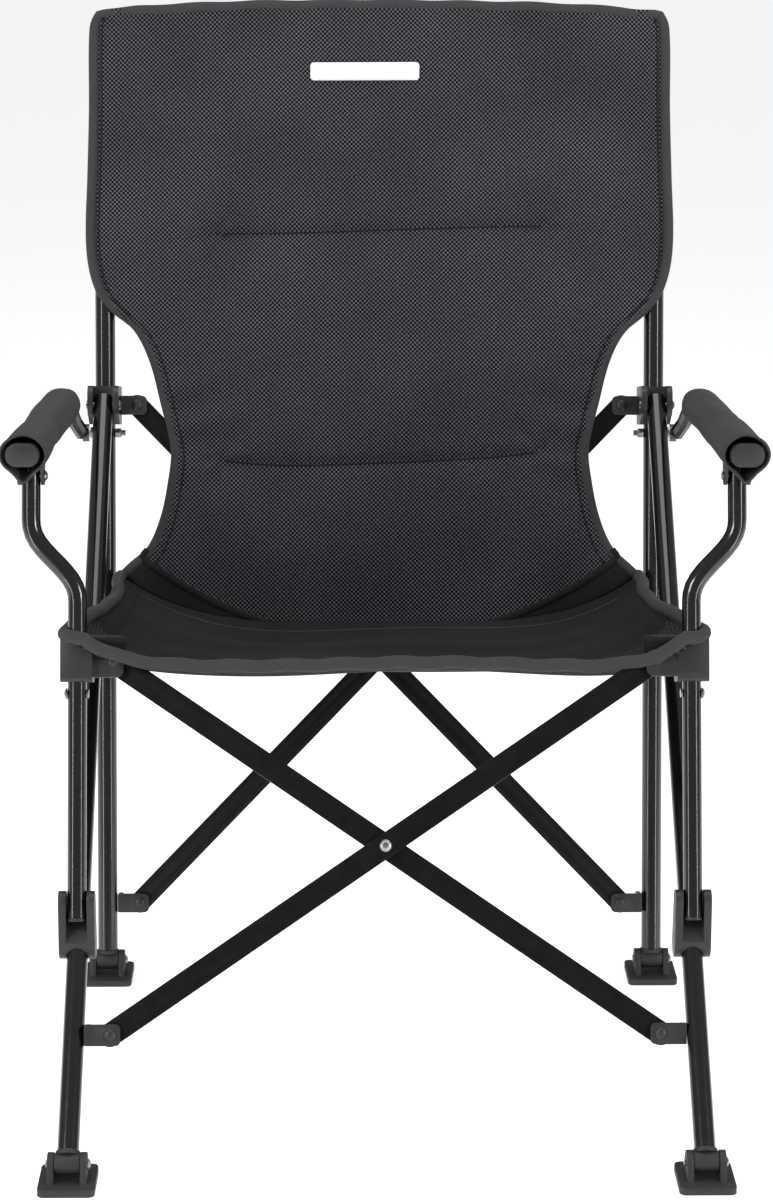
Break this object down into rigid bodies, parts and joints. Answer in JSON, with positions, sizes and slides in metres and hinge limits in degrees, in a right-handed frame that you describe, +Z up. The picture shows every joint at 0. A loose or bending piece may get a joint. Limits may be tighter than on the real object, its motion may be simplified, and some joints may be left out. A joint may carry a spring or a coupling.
{
  "type": "folding camp chair",
  "caption": "High-back folding camp chair with padded hard armrests, mesh sling seat and back, scissor cross bars front and rear, and tipping feet.",
  "frame": {"origin": "on the floor, under the centre of the chair's box", "axes": "+Z up; the sitter looks along -Y; +X is to the right when seen from the front"},
  "size_m": [0.7106, 0.7447, 1.0039],
  "materials": {
    "gloss_black_tube": "gloss black powder coat",
    "cross_bar_black": "satin black paint",
    "moulded_grey": "satin dark grey moulded nylon",
    "foot_grey": "matte dark grey",
    "steel_rivet": "plated steel",
    "armrest_fabric": "charcoal woven sleeve over foam",
    "spacer_mesh": "charcoal spacer mesh with a woven binding",
    "label": "plain white woven label"
  },
  "bodies": {
    "left_post": {"rear_post_left": "gloss_black_tube", "armrest_bolt_left": "steel_rivet", "rear_lower_bracket_left": "moulded_grey", "rear_foot_knuckle_left": "foot_grey", "rear_foot_pin_left": "steel_rivet", "back_panel": "spacer_mesh", "back_label": "label"},
    "left_slider": {"rear_slider_left": "moulded_grey", "leg_pin_left": "steel_rivet", "rear_upper_bracket_left": "moulded_grey"},
    "left_leg": {"front_leg_left": "gloss_black_tube", "front_foot_knuckle_left": "foot_grey", "front_foot_pin_left": "steel_rivet"},
    "left_clip": {"leg_clip_left": "moulded_grey"},
    "left_bracket": {"front_bracket_left": "moulded_grey"},
    "front_bar_rising_right": {"front_cross_bar_rising_right": "cross_bar_black", "front_cross_rivet": "steel_rivet"},
    "front_bar_rising_left": {"front_cross_bar_rising_left": "cross_bar_black"},
    "right_bracket": {"front_bracket_right": "moulded_grey"},
    "right_leg": {"front_leg_right": "gloss_black_tube", "front_foot_knuckle_right": "foot_grey", "front_foot_pin_right": "steel_rivet"},
    "right_clip": {"leg_clip_right": "moulded_grey"},
    "right_slider": {"rear_slider_right": "moulded_grey", "leg_pin_right": "steel_rivet", "rear_upper_bracket_right": "moulded_grey"},
    "right_post": {"rear_post_right": "gloss_black_tube", "armrest_bolt_right": "steel_rivet", "rear_lower_bracket_right": "moulded_grey", "rear_foot_knuckle_right": "foot_grey", "rear_foot_pin_right": "steel_rivet"},
    "left_arm_support": {"arm_support_left": "gloss_black_tube", "support_plug_left": "moulded_grey", "stop_rivet_left": "steel_rivet", "seat_corner_block_left": "moulded_grey"},
    "right_arm_support": {"arm_support_right": "gloss_black_tube", "support_plug_right": "moulded_grey", "stop_rivet_right": "steel_rivet", "seat_corner_block_right": "moulded_grey"},
    "left_armrest": {"armrest_tube_left": "gloss_black_tube", "armrest_bolt_head_left": "steel_rivet", "armrest_pad_left": "armrest_fabric", "armrest_cap_left": "moulded_grey", "armrest_bracket_left": "moulded_grey", "armrest_pin_left": "steel_rivet"},
    "right_armrest": {"armrest_tube_right": "gloss_black_tube", "armrest_bolt_head_right": "steel_rivet", "armrest_pad_right": "armrest_fabric", "armrest_cap_right": "moulded_grey", "armrest_bracket_right": "moulded_grey", "armrest_pin_right": "steel_rivet"},
    "rear_bar_rising_right": {"rear_cross_bar_rising_right": "cross_bar_black", "rear_cross_rivet": "steel_rivet"},
    "rear_bar_rising_left": {"rear_cross_bar_rising_left": "cross_bar_black"},
    "seat": {"seat_panel": "spacer_mesh"},
    "left_rear_shoe": {"rear_foot_shoe_left": "foot_grey"},
    "left_front_shoe": {"front_foot_shoe_left": "foot_grey"},
    "right_rear_shoe": {"rear_foot_shoe_right": "foot_grey"},
    "right_front_shoe": {"front_foot_shoe_right": "foot_grey"}
  },
  "joints": [
    {"name": "fold", "type": "slide", "parent": "left_post", "child": "left_slider", "axis": [0, 0.2164, 0.9763], "range_m": [0, 0.19923], "deforming": ["back_panel", "back_label", "seat_panel"]},
    {"name": "left_leg_fold", "type": "hinge", "parent": "left_slider", "child": "left_leg", "pos_m": [-0.29, 0.24406, 0.60251], "axis": [1, 0, 0], "range_deg": [0, 27.81]},
    {"name": "left_clip_slide", "type": "slide", "parent": "left_leg", "child": "left_clip", "axis": [0, 0.7107, 0.7035], "range_m": [0, 0.26285]},
    {"name": "left_bracket_swivel", "type": "hinge", "parent": "left_leg", "child": "left_bracket", "pos_m": [-0.29, -0.25587, 0.10759], "axis": [1, 0, 0], "range_deg": [-15.68, 0]},
    {"name": "front_bar_rising_right_turn", "type": "hinge", "parent": "left_bracket", "child": "front_bar_rising_right", "pos_m": [-0.256, -0.25587, 0.10759], "axis": [0, -0.9262, 0.3771], "range_deg": [0, 45.7]},
    {"name": "front_scissor", "type": "hinge", "parent": "front_bar_rising_right", "child": "front_bar_rising_left", "pos_m": [0, -0.19005, 0.26925], "axis": [0, -0.9262, 0.3771], "range_deg": [-91.38, 0]},
    {"name": "right_bracket_turn", "type": "hinge", "parent": "front_bar_rising_left", "child": "right_bracket", "pos_m": [0.256, -0.25587, 0.10759], "axis": [0, -0.9262, 0.3771], "range_deg": [0, 45.7]},
    {"name": "right_bracket_swivel", "type": "hinge", "parent": "right_bracket", "child": "right_leg", "pos_m": [0.29, -0.25587, 0.10759], "axis": [1, 0, 0], "range_deg": [0, 15.68]},
    {"name": "right_clip_slide", "type": "slide", "parent": "right_leg", "child": "right_clip", "axis": [0, 0.7107, 0.7035], "range_m": [0, 0.26285]},
    {"name": "right_leg_fold", "type": "hinge", "parent": "right_leg", "child": "right_slider", "pos_m": [0.29, 0.24406, 0.60251], "axis": [1, 0, 0], "range_deg": [-27.81, 0]},
    {"name": "right_slide", "type": "slide", "parent": "right_slider", "child": "right_post", "axis": [0, 0.2164, 0.9763], "range_m": [-0.19933, 0]},
    {"name": "left_support_turn", "type": "hinge", "parent": "front_bar_rising_left", "child": "left_arm_support", "pos_m": [-0.256, -0.12422, 0.4309], "axis": [0, -0.9262, 0.3771], "range_deg": [0, 45.7]},
    {"name": "right_support_turn", "type": "hinge", "parent": "front_bar_rising_right", "child": "right_arm_support", "pos_m": [0.256, -0.12422, 0.4309], "axis": [0, -0.9262, 0.3771], "range_deg": [-45.7, 0]},
    {"name": "left_armrest_turn", "type": "hinge", "parent": "left_arm_support", "child": "left_armrest", "pos_m": [-0.334, -0.07225, 0.598], "axis": [1, 0, 0], "range_deg": [-85.3, 0]},
    {"name": "right_armrest_turn", "type": "hinge", "parent": "right_arm_support", "child": "right_armrest", "pos_m": [0.334, -0.07225, 0.598], "axis": [1, 0, 0], "range_deg": [-85.3, 0]},
    {"name": "rear_bar_rising_right_turn", "type": "hinge", "parent": "left_post", "child": "rear_bar_rising_right", "pos_m": [-0.256, 0.15885, 0.07955], "axis": [0, -0.9763, 0.2164], "range_deg": [0, 35.65]},
    {"name": "rear_scissor", "type": "hinge", "parent": "rear_bar_rising_right", "child": "rear_bar_rising_left", "pos_m": [0, 0.2161, 0.33778], "axis": [0, -0.9763, 0.2164], "range_deg": [-71.3, 0]},
    {"name": "seat_turn", "type": "hinge", "parent": "left_post", "child": "seat", "pos_m": [0, 0.20165, 0.44], "axis": [1, 0, 0], "range_deg": [-83.3, 0]},
    {"name": "left_rear_foot_tip", "type": "hinge", "parent": "left_post", "child": "left_rear_shoe", "pos_m": [-0.29, 0.14565, 0.02], "axis": [1, 0, 0], "range_deg": [-20, 20]},
    {"name": "left_front_foot_tip", "type": "hinge", "parent": "left_leg", "child": "left_front_shoe", "pos_m": [-0.29, -0.34435, 0.02], "axis": [1, 0, 0], "range_deg": [-20, 20]},
    {"name": "right_rear_foot_tip", "type": "hinge", "parent": "right_post", "child": "right_rear_shoe", "pos_m": [0.29, 0.14565, 0.02], "axis": [1, 0, 0], "range_deg": [-20, 20]},
    {"name": "right_front_foot_tip", "type": "hinge", "parent": "right_leg", "child": "right_front_shoe", "pos_m": [0.29, -0.34435, 0.02], "axis": [1, 0, 0], "range_deg": [-20, 20]}
  ],
  "couplings": [
    {"joint": "left_leg_fold", "follows": "fold", "rad_per_m": 2.4344},
    {"joint": "left_clip_slide", "follows": "fold", "ratio": 1.3188},
    {"joint": "left_bracket_swivel", "follows": "fold", "rad_per_m": -1.372},
    {"joint": "front_bar_rising_right_turn", "follows": "fold", "rad_per_m": 4.0014},
    {"joint": "front_scissor", "follows": "fold", "rad_per_m": -8.0028},
    {"joint": "right_bracket_turn", "follows": "fold", "rad_per_m": 4.0014},
    {"joint": "right_bracket_swivel", "follows": "fold", "rad_per_m": 1.372},
    {"joint": "right_clip_slide", "follows": "fold", "ratio": 1.3188},
    {"joint": "right_leg_fold", "follows": "fold", "rad_per_m": -2.4344},
    {"joint": "right_slide", "follows": "fold", "ratio": -1},
    {"joint": "left_support_turn", "follows": "fold", "rad_per_m": 4.0014},
    {"joint": "right_support_turn", "follows": "fold", "rad_per_m": -4.0014},
    {"joint": "left_armrest_turn", "follows": "fold", "rad_per_m": -7.4692},
    {"joint": "right_armrest_turn", "follows": "fold", "rad_per_m": -7.4692},
    {"joint": "rear_bar_rising_right_turn", "follows": "fold", "rad_per_m": 3.1212},
    {"joint": "rear_scissor", "follows": "fold", "rad_per_m": -6.2424},
    {"joint": "seat_turn", "follows": "fold", "rad_per_m": -7.2948}
  ]
}
